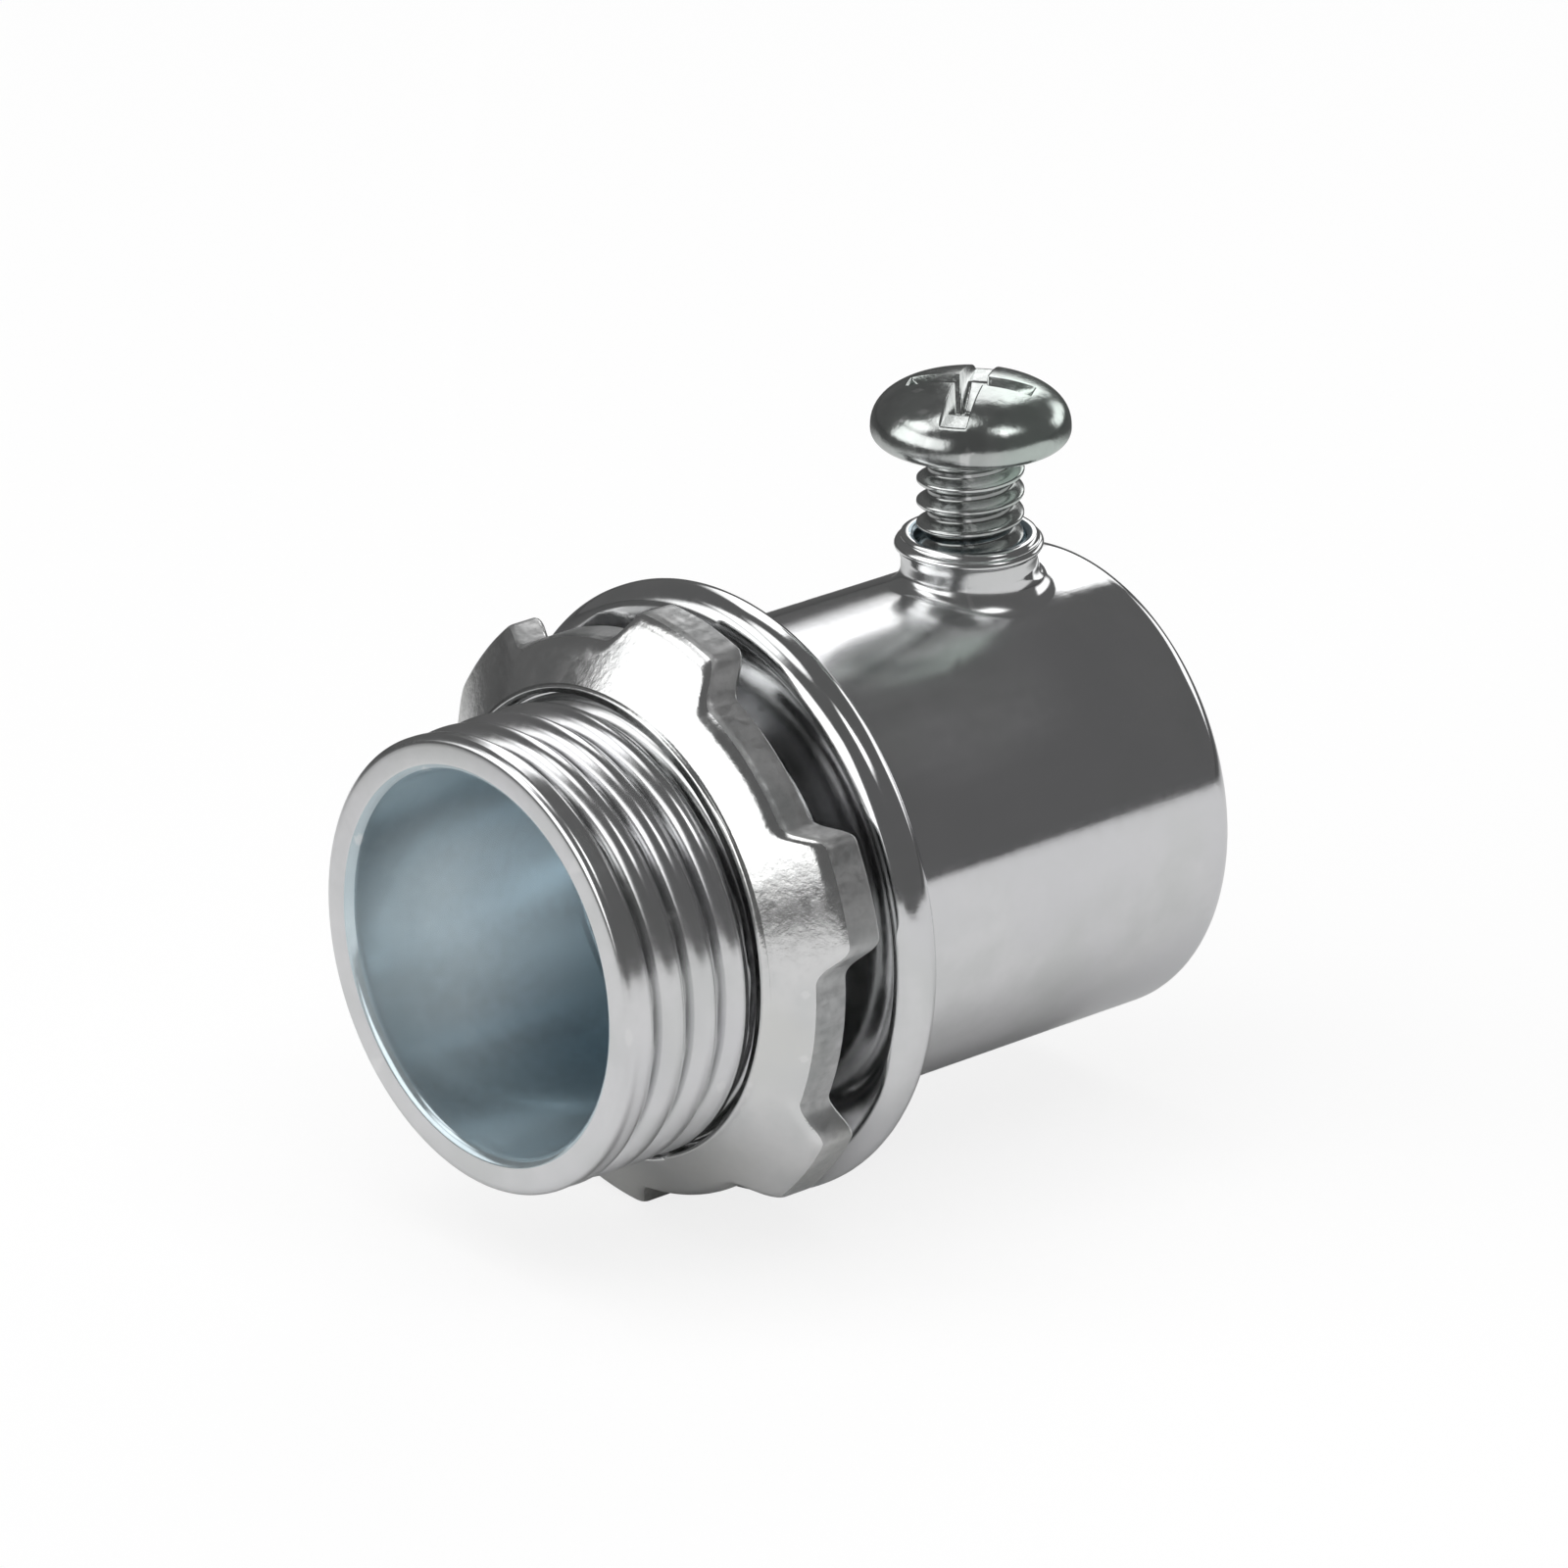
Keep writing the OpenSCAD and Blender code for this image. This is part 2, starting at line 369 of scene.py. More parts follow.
def tapped_hole(angles):
    """Rings of the boss's hole, from its mouth at the top down to the socket's wall."""
    bottom = on_cylinder(circle_xy(TAP_R + TAP_MOUTH, angles), SOCKET_R)[:, 2]
    mouth = arc(BOSS_TOP - TAP_MOUTH, TAP_R + TAP_MOUTH, TAP_MOUTH, 0, -90, 4)
    rings = [around_screw(z, r, angles) for z, r in mouth]
    top = BOSS_TOP - TAP_MOUTH
    for s in np.linspace(0, 1, TAP_ROWS)[1:]:
        z = top + s * (bottom + TAP_MOUTH - top)
        turns = z / SCREW_PITCH - angles / TURN + SCREW_PHASE
        depth = (1 - groove(turns + 0.5, 1.0)) * ease(s / 0.12) * ease((1 - s) / 0.12)
        rings.append(around_screw(z, TAP_R + TAP_DEPTH * depth, angles))
    for t in np.linspace(0, QUARTER, 6)[1:]:
        r = TAP_R + TAP_MOUTH * (1 - math.cos(t))
        z = bottom + TAP_MOUTH * (1 - math.sin(t))
        rings.append(around_screw(z, r, angles))
    return rings


def boss_patch(shell, outer_border, inner_border):
    """Fills the windows of the outside and the bore with the boss and its tapped hole."""
    points = np.concatenate(shell.rings)
    outer_xy = points[outer_border][:, :2]
    inner_xy = points[inner_border][:, :2]
    angles = np.arctan2(outer_xy[:, 1], outer_xy[:, 0] - SCREW_X)
    flare_xy = circle_xy(STEM_R + FLARE_W, angles)
    mouth_xy = circle_xy(TAP_R + TAP_MOUTH, angles)
    rings = [on_cylinder(outer_xy + s * (flare_xy - outer_xy), BARREL_R) for s in (0.3, 0.6, 0.85)]
    rings += boss_wall(angles)
    hole_from = len(rings)
    rings += tapped_hole(angles)
    shares = (0.12, 0.3, 0.5, 0.75)
    rings += [on_cylinder(mouth_xy + s * (inner_xy - mouth_xy), SOCKET_R) for s in shares]
    last = outer_border
    for number, ring in enumerate(rings):
        new = shell.ring(ring)
        shell.bridge(last, new, BORE if number > hole_from else PLATE)
        last = new
    shell.bridge(last, inner_border, BORE)


def build_tube(materials):
    """The drawn tube: nipple, bead, barrel and boss as one closed surface."""
    shell = Shell()
    outside = [tube_ring(shell, row) for row in tube_outside()]
    outer_window = [tube_ring(shell, (x, BARREL_R)) for x in WINDOW_X]
    end = [tube_ring(shell, row) for row in tube_end()]
    inner_window = [tube_ring(shell, (x, SOCKET_R)) for x in WINDOW_X]
    bore = [tube_ring(shell, row) for row in tube_bore()]

    side = WINDOW_COLUMNS
    beside = np.arange(side, TUBE_COLUMNS - side + 1)
    for slot, window in ((PLATE, outer_window), (BORE, inner_window)):
        for a, b in zip(window, window[1:]):
            shell.quads(a[beside], b[beside], slot)

    mouth_from = len(end) - BLUE_MOUTH_ROWS
    front = outside + [outer_window[0]]
    for a, b in zip(front, front[1:]):
        shell.bridge(a, b, PLATE)
    rear = [outer_window[-1]] + end + [inner_window[-1]]
    for number, (a, b) in enumerate(zip(rear, rear[1:])):
        shell.bridge(a, b, BORE if number > mouth_from else PLATE)
    inside = [inner_window[0]] + bore
    for a, b in zip(inside, inside[1:]):
        shell.bridge(a, b, BORE)
    shell.bridge(bore[-1], outside[0], PLATE)
    boss_patch(shell, border(outer_window), border(inner_window))
    return shell.piece("connector_tube", materials, "connector", "connector_body", "body_zinc")


# ---------------------------------------------------------------- locknut

NUT_COLUMNS = 576
NUT_HOLE_ROWS = 34
NUT_HOLE_LEAD = 0.2       # plain part of the hole in front of its thread
SHEAR_STEP = 0.35         # share of the way to the front corner that each ring of the edge takes
SHEARED_ROWS = 6
OUTLINE_BLEND = 0.5       # width over which the corners of the lobes are rounded


def smooth_least(a, b, blend):
    """The smaller of a and b, with the corner between them rounded over a width of blend."""
    near = np.clip(0.5 + 0.5 * (b - a) / blend, 0, 1)
    return b + (a - b) * near - blend * near * (1 - near)


def nut_outline(angles):
    """Distance of the nut's edge from the axis: a round waist with six lobes that narrow outwards."""
    sixth = TURN / 6
    off = np.abs((angles - LOBE_CENTRE + sixth / 2) % sixth - sixth / 2)
    lean = (LOBE_ROOT[1] - LOBE_TIP[1]) / (LOBE_TIP[0] - LOBE_ROOT[0])
    along = (LOBE_ROOT[1] + LOBE_ROOT[0] * lean) / (np.tan(off) + lean)
    flank = along / np.cos(off)
    raised = -smooth_least(-flank, -NUT_WAIST_R, OUTLINE_BLEND)
    return smooth_least(raised, NUT_TIP_R, OUTLINE_BLEND)


def nut_bore(x, angles):
    """Wall of the nut's hole: a right-handed thread cut outwards, which clears the nipple's crests."""
    turns = (x - RIM_X) / NIPPLE_PITCH - angles / TURN + NIPPLE_PHASE
    depth = 1 - groove(turns + 0.5, 1.2)
    return NUT_BORE_R + NUT_THREAD_DEPTH * depth


def plate_x(r):
    """Front face of the dished plate at a distance from the axis."""
    return NUT_FRONT + NUT_DISH * (r - NUT_BORE_R)


def nut_hole_rings(angles):
    """Rings of the threaded hole, from the front to the back."""
    rows = np.linspace(NUT_FRONT + NUT_HOLE_LEAD, NUT_FRONT + NUT_T - 0.15, NUT_HOLE_ROWS)
    return [(x, nut_bore(x, angles)) for x in rows]


def nut_back_rings(edge):
    """Rings of the back face, outwards from the hole to the rounded corner of the edge."""
    back_from = NUT_BORE_R + NUT_THREAD_DEPTH + 0.1
    back_to = edge - NUT_BACK_ROUND
    rings = []
    for s in np.linspace(0, 1, 10):
        r = back_from + s * (back_to - back_from)
        rings.append((plate_x(r) + NUT_T, r))
    for t in np.linspace(0, QUARTER, 5)[1:]:
        r = edge - NUT_BACK_ROUND * (1 - math.sin(t))
        rings.append((plate_x(back_to) + NUT_T - NUT_BACK_ROUND * (1 - math.cos(t)), r))
    return rings


def nut_edge_rings(edge, back_x):
    """Rings of the sheared edge, from the back corner at back_x over the rounded front corner."""
    front_x = plate_x(edge - NUT_FRONT_ROUND)
    tilt = NUT_DISH * NUT_FRONT_ROUND
    corner_x = front_x + NUT_FRONT_ROUND + tilt
    rings = []
    x = back_x
    for _ in range(2):
        x = x + SHEAR_STEP * (corner_x - x)
        rings.append((x, edge))
    for t in np.linspace(QUARTER, 0, 9):
        r = edge - NUT_FRONT_ROUND * (1 - math.sin(t))
        lift = NUT_FRONT_ROUND * (1 - math.cos(t)) + tilt * math.sin(t)
        rings.append((front_x + lift, r))
    return rings


def nut_front_rings(edge):
    """Rings of the front face, inwards from the edge to the lead-in of the hole."""
    front_from = NUT_BORE_R + 0.35
    front_to = edge - NUT_FRONT_ROUND
    rings = []
    for s in np.linspace(1, 0, 16)[1:]:
        r = front_from + s * (front_to - front_from)
        rings.append((plate_x(r), r))
    rings.append((NUT_FRONT + 0.12, np.full(NUT_COLUMNS, NUT_BORE_R + 0.12)))
    return rings


def build_nut(materials):
    """The stamped and dished plate, its lobes bent back towards the shoulder."""
    angles = TURN * np.arange(NUT_COLUMNS) / NUT_COLUMNS
    edge = nut_outline(angles)
    rings = nut_hole_rings(angles) + nut_back_rings(edge)
    sheared_from = len(rings) - 2
    rings += nut_edge_rings(edge, rings[-1][0])
    rings += nut_front_rings(edge)

    shell = Shell()
    numbers = [shell.ring(around_bore(x, r, angles)) for x, r in rings]
    for number, (a, b) in enumerate(zip(numbers, numbers[1:] + numbers[:1])):
        sheared = sheared_from <= number <= sheared_from + SHEARED_ROWS
        shell.bridge(a, b, SHEARED if sheared else PLATE)
    return shell.piece("lobed_locknut", materials, "nut", "locknut", "nut_zinc")


# ---------------------------------------------------------------- set screw

WALL_SOFT = 0.022         # half width of the slot's and the cross's side walls
HEAD_SQUARE = 3.0         # half width of the head's square middle, where grid lines follow the slot
SHANK_ROWS_PER_PITCH = 22
STRAIGHT = 0.75           # grid lines closer to the middle than this run straight to the rim


def square_lines():
    """Grid lines across the head's middle, with a pair at each wall of the slot and the cross."""
    half = [0.0, 0.18, 0.36, 0.68, STRAIGHT, HEAD_SQUARE]
    for wall in (CROSS_HALF, SLOT_HALF, CROSS_REACH):
        half += [wall - WALL_SOFT, wall + WALL_SOFT]
    half += list(np.linspace(CROSS_FLOOR, CROSS_REACH - 0.1, 13)) + [CROSS_REACH + 0.1]
    half = sorted(half)
    return np.array([-value for value in half[:0:-1]] + half)


def head_height(u, v):
    """Top of the head over a point, u along the slot and v across it: dome, slot and cross."""
    r = np.minimum(np.hypot(u, v) / HEAD_R, 1)
    dome = HEAD_TOP - HEAD_Z - HEAD_EDGE
    top = HEAD_Z + HEAD_EDGE + dome * (1 - r ** DOME_POWER) ** (1 / DOME_POWER)
    u, v = np.abs(u), np.abs(v)
    slot = np.where(v < SLOT_HALF, HEAD_TOP - SLOT_DEPTH, HEAD_TOP)
    cut = np.minimum(top, slot)
    for along, across in ((u, v), (v, u)):
        taper = (along - CROSS_FLOOR) / (CROSS_REACH - CROSS_FLOOR)
        depth = CROSS_DEPTH + np.clip(taper, 0, 1) * (CROSS_LIP - CROSS_DEPTH)
        inside = (across < CROSS_HALF) & (along < CROSS_REACH)
        cut = np.minimum(cut, np.where(inside, HEAD_TOP - depth, HEAD_TOP))
    return cut


def head_point(u, v):
    """A point on top of the head, turned so that u runs along the slot."""
    x = SCREW_X + u * math.cos(SLOT_TURN) - v * math.sin(SLOT_TURN)
    y = u * math.sin(SLOT_TURN) + v * math.cos(SLOT_TURN)
    return np.stack([x, y, head_height(u, v)], axis=-1)


def rim_angles(lines):
    """Angles at which the grid lines of one side of the square meet the head's rim."""
    straight = np.arcsin(np.clip(lines, -STRAIGHT, STRAIGHT) / HEAD_R)
    beyond = (np.abs(lines) - STRAIGHT) / (HEAD_SQUARE - STRAIGHT)
    spread = np.clip(beyond, 0, 1) * (math.pi / 4 - math.asin(STRAIGHT / HEAD_R))
    return straight + np.sign(lines) * spread


def screw_radius(z, angles):
    """Right-handed thread of the shank, with narrow crests and a run-out at both ends."""
    turns = z / SCREW_PITCH - angles / TURN + SCREW_PHASE
    from_crest = np.abs(2 * (turns % 1) - 1)
    ridge = ease((0.86 - from_crest) / 0.78)
    start = ease((z - TIP_Z - 0.2) / TIP_CHAMFER)
    end = ease((HEAD_Z - 0.15 - z) / 0.5)
    return SHANK_R - SCREW_DEPTH * (1 - ridge * start * end)


def head_middle(shell, lines):
    """The gridded square middle of the head; gives the numbers of its border, from the +u side."""
    grid = []
    for v in lines:
        grid.append(shell.ring(head_point(lines, np.full(len(lines), v))))
    for a, b in zip(grid, grid[1:]):
        shell.quads(a, b)
    grid = np.array(grid)
    last = len(lines) - 1
    sides = [grid[:last, last], grid[last, last:0:-1], grid[last:0:-1, 0], grid[0, :last]]
    return np.concatenate(sides)


def head_rings(shell, square, angles):
    """Rings that carry the square border out to the head's round rim."""
    flat = np.concatenate(shell.rings)[square][:, :2] - [SCREW_X, 0]
    inner_u = flat[:, 0] * math.cos(SLOT_TURN) + flat[:, 1] * math.sin(SLOT_TURN)
    inner_v = flat[:, 1] * math.cos(SLOT_TURN) - flat[:, 0] * math.sin(SLOT_TURN)
    ring = square
    for s in np.sin(np.linspace(0, QUARTER, 16))[1:]:
        u = inner_u + s * (HEAD_R * np.cos(angles) - inner_u)
        v = inner_v + s * (HEAD_R * np.sin(angles) - inner_v)
        new = shell.ring(head_point(u, v))
        shell.bridge(ring, new)
        ring = new
    return ring


def rows_below_head():
    """(z, r) rows from the head's rounded edge to the tip; r is None on the thread."""
    rows = arc(HEAD_Z + HEAD_EDGE, HEAD_R - HEAD_EDGE, HEAD_EDGE, 90, 180, 8)[1:]
    rows += [(HEAD_Z, HEAD_R - 1.1), (HEAD_Z, SHANK_R + 0.5)]
    rows += arc(HEAD_Z - 0.4, SHANK_R + 0.25, 0.4, 0, -90, 4)[1:-1]
    shank_top = HEAD_Z - 0.45
    turns = (shank_top - TIP_Z) / SCREW_PITCH
    heights = np.linspace(shank_top, TIP_Z + 0.15, round(turns * SHANK_ROWS_PER_PITCH))
    rows += [(z, None) for z in heights]
    tip_r = SHANK_R - SCREW_DEPTH - 0.15
    return rows + [(TIP_Z + 0.05, tip_r), (TIP_Z, tip_r - 0.1), (TIP_Z, 1.0), (TIP_Z, 0.4)]


def build_screw(materials):
    """The pan-head screw: a gridded top that holds the slot and the cross, then rings down the shank."""
    shell = Shell()
    lines = square_lines()
    square = head_middle(shell, lines)
    quarter = rim_angles(lines)[:-1]
    angles = np.concatenate([quarter + k * QUARTER for k in range(4)])
    ring = head_rings(shell, square, angles)

    angles = angles + SLOT_TURN
    for z, r in rows_below_head():
        hollow = 0.0
        if r is None:
            r = screw_radius(z, angles)
            hollow = (SHANK_R - r) / SCREW_DEPTH
        new = shell.ring(around_screw(z, r, angles), hollow)
        shell.bridge(ring, new)
        ring = new
    shell.cap(ring, (SCREW_X, 0, TIP_Z))
    return shell.piece("pan_head_screw", materials, "screw", "set_screw", "screw_zinc")


# ---------------------------------------------------------------- materials

class Nodes:
    """A node tree that grows by one short call at a time."""

    def __init__(self, tree):
        self.tree = tree
        tree.nodes.clear()

    def add(self, kind, inputs, **settings):
        """Adds a node. An input is a plain value or another node's output."""
        node = self.tree.nodes.new(kind)
        for key, value in settings.items():
            setattr(node, key, value)
        for key, value in inputs.items():
            if isinstance(value, bpy.types.NodeSocket):
                self.tree.links.new(value, node.inputs[key])
            else:
                node.inputs[key].default_value = value
        return node

    def math(self, operation, a, b=0.0, c=0.0):
        return self.add("ShaderNodeMath", {0: a, 1: b, 2: c}, operation=operation).outputs[0]

    def noise(self, place, scale, detail, roughness=0.5):
        inputs = {"Vector": place, "Scale": scale, "Detail": detail, "Roughness": roughness}
        return self.add("ShaderNodeTexNoise", inputs).outputs["Fac"]

    def ramp(self, value, low, high, to_low=0.0, to_high=1.0):
        """Smooth step of value from low to high, spread over to_low to to_high."""
        inputs = {"Value": value, "From Min": low, "From Max": high}
        inputs.update({"To Min": to_low, "To Max": to_high})
        node = self.add("ShaderNodeMapRange", inputs, interpolation_type="SMOOTHSTEP")
        return node.outputs["Result"]

    def blend(self, share, a, b):
        """Colour between a and b."""
        node = self.add("ShaderNodeMix", {0: share}, data_type="RGBA")
        for socket, value in ((node.inputs[6], a), (node.inputs[7], b)):
            if isinstance(value, bpy.types.NodeSocket):
                self.tree.links.new(value, socket)
            else:
                socket.default_value = (*value, 1)
        return node.outputs[2]


def zinc(name, light, dark, tint, roughness, grain, stretch, dull_places=(), deep_shade=None,
         metallic=1.0, root_shade=0.85):
    """Zinc plate on steel: cloudy colour, faint tint, drawn lines, rough roots with painted shade, worn
    edges.

    dull_places holds (centre, radius, added roughness) of places that were worked hard. The deep
    colour is painted shade: the plate is darkened towards it far inside the nipple. The root shade
    setting is how much painted shade darkens a thread's root.
    """
    material = bpy.data.materials.new(name)
    material.use_nodes = True
    nodes = Nodes(material.node_tree)
    place = nodes.add("ShaderNodeTexCoord", {}).outputs["Object"]
    in_mm = nodes.add("ShaderNodeMapping", {"Vector": place, "Scale": (1000, 1000, 1000)}).outputs[0]
    drawn = nodes.add("ShaderNodeMapping", {"Vector": in_mm, "Scale": stretch}).outputs[0]

    clouds = nodes.noise(in_mm, 0.28, 4.0)
    patches = nodes.noise(in_mm, 0.11, 2.0)
    crystals = nodes.noise(in_mm, 2.2, 5.0, 0.6)
    lines = nodes.noise(drawn, 1.0, 4.0, 0.6)
    colour = nodes.blend(nodes.ramp(clouds, 0.35, 0.65), light, dark)
    colour = nodes.blend(nodes.ramp(patches, 0.42, 0.62, 0.0, 0.8), colour, tint)
    colour = nodes.blend(nodes.ramp(crystals, 0.35, 0.75, 0.0, 0.22), colour, dark)

    # Painted shade: the bore darkens towards the deep colour further inside the nipple.
    if deep_shade:
        along = nodes.add("ShaderNodeSeparateXYZ", {"Vector": in_mm}).outputs[0]
        colour = nodes.blend(nodes.ramp(along, RIM_X + 3.5, THREAD_END), colour, deep_shade)

    edges = nodes.add("ShaderNodeNewGeometry", {}).outputs["Pointiness"]
    worn = nodes.ramp(edges, 0.53, 0.62, 0.0, 0.5)
    root = nodes.add("ShaderNodeAttribute", {}, attribute_name="hollow").outputs["Fac"]
    # Painted shade: thread roots are darkened towards a fifth of the dark tone, and made a little
    # rougher.
    hollow = nodes.ramp(root, 0.35, 0.95, 0.0, root_shade)
    colour = nodes.blend(hollow, colour, tuple(0.2 * value for value in dark))
    colour = nodes.blend(worn, colour, (0.95, 0.95, 0.95))

    dull = nodes.ramp(crystals, 0.3, 0.7, roughness * 0.8, roughness * 1.3)
    dull = nodes.math("ADD", dull, nodes.ramp(lines, 0.4, 0.7, 0.0, roughness * 0.4))
    dull = nodes.math("ADD", dull, nodes.math("MULTIPLY", hollow, 0.05))
    for centre, radius, added in dull_places:
        away = nodes.add("ShaderNodeVectorMath", {0: in_mm, 1: centre}, operation="DISTANCE")
        near = nodes.ramp(away.outputs["Value"], radius, 0.5 * radius, 0.0, added)
        dull = nodes.math("ADD", dull, near)

    bumps = nodes.math("ADD", nodes.math("MULTIPLY", crystals, grain), nodes.math("MULTIPLY", lines, 0.6))
    bump = nodes.add("ShaderNodeBump", {"Height": bumps, "Strength": 0.35, "Distance": 0.00001})
    inputs = {"Base Color": colour, "Metallic": metallic, "Roughness": dull, "Normal": bump.outputs[0]}
    surface = nodes.add("ShaderNodeBsdfPrincipled", inputs)
    nodes.add("ShaderNodeOutputMaterial", {"Surface": surface.outputs[0]})
    return material


plate_zinc = zinc(
    "plate_zinc", light=(0.85, 0.85, 0.86), dark=(0.77, 0.78, 0.78), tint=(0.81, 0.81, 0.83),
    roughness=0.075, grain=0.4, stretch=(0.08, 1.6, 1.6), root_shade=0.6,
    dull_places=[((RIM_X, 0, 0), 22, 0.10), ((SCREW_X - 7, -5, BARREL_R - 1), 9, 0.13)])
# The bore's deep colour is painted shade, darkening it far inside the nipple.
bore_zinc = zinc(
    "bore_zinc", light=(0.61, 0.70, 0.74), dark=(0.52, 0.61, 0.65), tint=(0.56, 0.65, 0.69),
    roughness=0.145, grain=0.2, stretch=(0.5, 0.5, 0.5), deep_shade=(0.40, 0.49, 0.54), metallic=0.75)
nut_zinc = zinc(
    "nut_zinc", light=(0.88, 0.88, 0.88), dark=(0.78, 0.79, 0.79), tint=(0.84, 0.84, 0.82),
    roughness=0.145, grain=4.5, stretch=(1.5, 0.9, 0.9))
sheared_zinc = zinc(
    "sheared_zinc", light=(0.66, 0.66, 0.66), dark=(0.44, 0.45, 0.45), tint=(0.58, 0.58, 0.56),
    roughness=0.42, grain=3.0, stretch=(0.3, 1.8, 1.8))
screw_zinc = zinc(
    "screw_zinc", light=(0.70, 0.72, 0.71), dark=(0.48, 0.50, 0.49), tint=(0.62, 0.71, 0.66),
    roughness=0.14, grain=4.0, stretch=(1.2, 1.2, 0.3), root_shade=0.45)

build_tube([plate_zinc, bore_zinc])
build_nut([nut_zinc, sheared_zinc])
build_screw([screw_zinc])


# ---------------------------------------------------------------- stage, light and camera

FLOOR_Z = cad_lo[2]
FLOOR_HALF = 12.0
FLOOR_GLOW = 1.1
PAPER_END = (0.05, 0.11)   # reflections see the pale paper fade out here, beside and behind the part


def build_floor():
    """A wide pale floor that the bead and the nut's lobes rest on."""
    z = FLOOR_Z
    half = FLOOR_HALF
    corners = [(-half, -half, z), (half, -half, z), (half, half, z), (-half, half, z)]
    mesh = bpy.data.meshes.new("floor")
    mesh.from_pydata(corners, [], [(0, 1, 2, 3)])
    floor = bpy.data.objects.new("floor", mesh)
    bpy.context.scene.collection.objects.link(floor)
    material = bpy.data.materials.new("pale_floor")
    material.use_nodes = True
    nodes = Nodes(material.node_tree)
    seen = nodes.add("ShaderNodeLightPath", {}).outputs["Is Camera Ray"]
    place = nodes.add("ShaderNodeTexCoord", {}).outputs["Object"]
    x, y, _ = nodes.add("ShaderNodeSeparateXYZ", {"Vector": place}).outputs
    aside = nodes.math("MULTIPLY", nodes.math("ABSOLUTE", x), 0.75)
    far = nodes.ramp(nodes.math("MULTIPLY_ADD", y, 0.66, aside), *PAPER_END)
    far = nodes.math("MULTIPLY", far, nodes.math("SUBTRACT", 1.0, seen))
    colour = nodes.blend(far, (0.78, 0.78, 0.78), (0.12, 0.12, 0.12))
    paper = nodes.add("ShaderNodeBsdfDiffuse", {"Color": colour})
    glow = nodes.add("ShaderNodeEmission", {"Color": (1, 1, 1, 1), "Strength": FLOOR_GLOW})
    share = nodes.math("MULTIPLY", seen, 0.75)
    mixed = nodes.add("ShaderNodeMixShader", {0: share, 1: paper.outputs[0], 2: glow.outputs[0]})
    nodes.add("ShaderNodeOutputMaterial", {"Surface": mixed.outputs[0]})
    mesh.materials.append(material)


# Soft panels of the light tent, all angles in degrees: direction from +X towards +Y and its half
# width, height above the horizon and its half width, softness of the edges, brightness.
PANELS = [
    (163, 36, 20, 17, 5, 2.1),
    (138, 20, 51, 12, 7, 2.3),
    (39, 11, 29, 17, 3, 2.1),
    (-66, 15, 58, 11, 6, 2.6),
    (5, 17, 13, 9, 4, 1.8),
]
# The round panel overhead: direction, height, radius, softness, brightness.
ROOF = (110, 78, 13, 6, 2.0)
TENT_DARK = 0.14
TENT_CAMERA = 0.98        # brightness of the backdrop that the camera sees

KEY_SIZE = 1.2            # lamps: lengths in metres, energies in watts
KEY_ENERGY = 5.0
KEY_PLACE = Vector((-0.15, -0.2, 0.9))
SPOT_ENERGY = 68.0
SPOT_WIDTH = math.radians(0.95)
SPOT_AIM = Vector((RIM_X + 7.4, 8.6, -1.6)) * MM      # on the far wall of the bore
SPOT_THROUGH = Vector((RIM_X, 0.4, -0.7)) * MM        # in the mouth, on the way there
SPOT_DISTANCE = 0.45


def toward(azimuth, elevation):
    """Unit vector at an azimuth from +X towards +Y and an elevation, in degrees."""
    azimuth, elevation = math.radians(azimuth), math.radians(elevation)
    flat = math.cos(elevation)
    return Vector((math.cos(azimuth) * flat, math.sin(azimuth) * flat, math.sin(elevation)))


def build_world():
    """A dark tent with a few soft panels; the camera itself sees only a pale backdrop."""
    world = bpy.data.worlds.new("light_tent")
    world.use_nodes = True
    bpy.context.scene.world = world
    nodes = Nodes(world.node_tree)
    way = nodes.add("ShaderNodeTexCoord", {}).outputs["Generated"]
    x, y, z = nodes.add("ShaderNodeSeparateXYZ", {"Vector": way}).outputs
    heading = nodes.math("ARCTAN2", y, x)
    height = nodes.math("ARCSINE", z)
    light = TENT_DARK
    for side, half_turn, up, half_up, soft, strength in PANELS:
        masks = []
        off = nodes.math("WRAP", nodes.math("SUBTRACT", heading, math.radians(side)), math.pi, -math.pi)
        rise = nodes.math("SUBTRACT", height, math.radians(up))
        for offset, half in ((off, half_turn), (rise, half_up)):
            distance = nodes.math("ABSOLUTE", offset)
            masks.append(nodes.ramp(distance, math.radians(half + soft), math.radians(half - soft)))
        panel = nodes.math("MULTIPLY", nodes.math("MULTIPLY", *masks), strength)
        light = nodes.math("MAXIMUM", light, panel)
    azimuth, elevation, radius, soft, strength = ROOF
    centre = tuple(toward(azimuth, elevation))
    near = nodes.add("ShaderNodeVectorMath", {0: way, 1: centre}, operation="DOT_PRODUCT")
    outer, inner = (math.cos(math.radians(radius + step)) for step in (soft, -soft))
    roof = nodes.ramp(near.outputs["Value"], outer, inner, 0.0, strength)
    light = nodes.math("MAXIMUM", light, roof)
    seen = nodes.add("ShaderNodeLightPath", {}).outputs["Is Camera Ray"]
    kept = nodes.math("MULTIPLY", light, nodes.math("SUBTRACT", 1.0, seen))
    total = nodes.math("MULTIPLY_ADD", seen, TENT_CAMERA, kept)
    glow = nodes.add("ShaderNodeBackground", {"Strength": total})
    nodes.add("ShaderNodeOutputWorld", {"Surface": glow.outputs[0]})


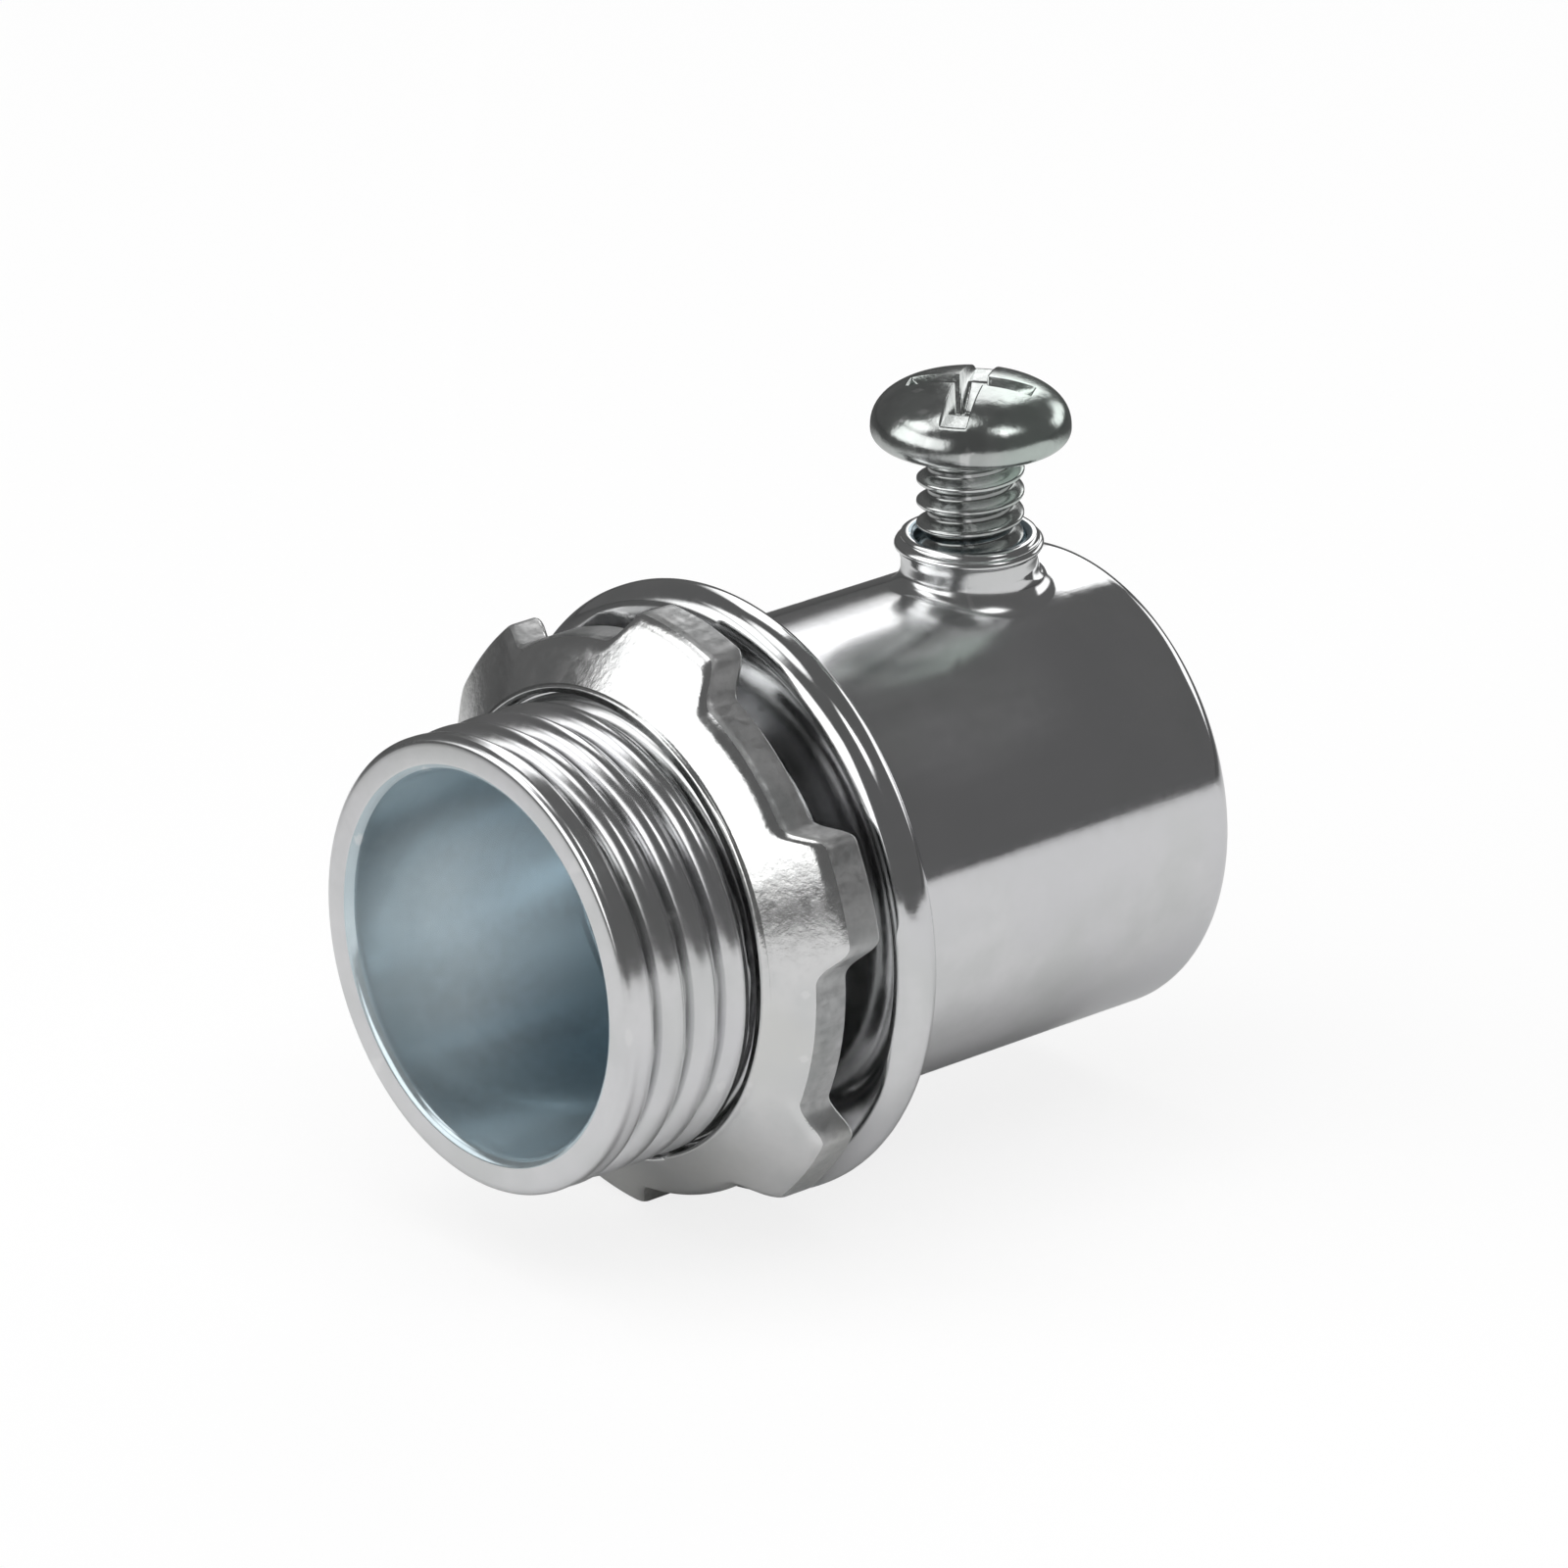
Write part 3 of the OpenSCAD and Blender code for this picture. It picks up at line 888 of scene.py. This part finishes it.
def add_key_light():
    """A wide soft lamp overhead, kept out of reflections, that whitens the floor."""
    lamp = bpy.data.lights.new("overhead", "AREA")
    lamp.shape = "DISK"
    lamp.size = KEY_SIZE
    lamp.energy = KEY_ENERGY
    holder = bpy.data.objects.new("overhead", lamp)
    holder.location = KEY_PLACE
    holder.rotation_euler = (-holder.location).to_track_quat("-Z", "Y").to_euler()
    holder.visible_glossy = False
    bpy.context.scene.collection.objects.link(holder)


def add_bore_light():
    """A small spot beside the camera, kept out of reflections, that shows the bore's far wall."""
    lamp = bpy.data.lights.new("bore_spot", "SPOT")
    lamp.energy = SPOT_ENERGY
    lamp.spot_size = SPOT_WIDTH
    lamp.spot_blend = 1.0
    lamp.shadow_soft_size = 0.005
    holder = bpy.data.objects.new("bore_spot", lamp)
    way = (SPOT_THROUGH - SPOT_AIM).normalized()
    holder.location = SPOT_AIM + way * SPOT_DISTANCE
    holder.rotation_euler = (-way).to_track_quat("-Z", "Y").to_euler()
    holder.visible_glossy = False
    bpy.context.scene.collection.objects.link(holder)


CAMERA_TARGET = Vector((4.46, -0.64, 4.19)) * MM
CAMERA_AZIMUTH = math.radians(-40.85)
CAMERA_ELEVATION = math.radians(22.3)
CAMERA_DISTANCE = 0.5
FRAME_WIDTH = 0.06948     # width of the picture at the target, in metres


def add_camera():
    """The camera of the main view, aimed from its azimuth and elevation."""
    data = bpy.data.cameras.new("camera")
    data.sensor_width = 36
    data.lens = data.sensor_width * CAMERA_DISTANCE / FRAME_WIDTH
    data.clip_start = 0.01
    data.clip_end = 50
    flat = math.cos(CAMERA_ELEVATION)
    back = Vector((
        math.sin(CAMERA_AZIMUTH) * flat, -math.cos(CAMERA_AZIMUTH) * flat, math.sin(CAMERA_ELEVATION)))
    camera = bpy.data.objects.new("camera", data)
    camera.location = CAMERA_TARGET + back * CAMERA_DISTANCE
    camera.rotation_euler = (-back).to_track_quat("-Z", "Y").to_euler()
    bpy.context.scene.collection.objects.link(camera)
    bpy.context.scene.camera = camera


build_floor()
build_world()
add_key_light()
add_bore_light()
add_camera()
bpy.context.scene.view_settings.view_transform = "Standard"
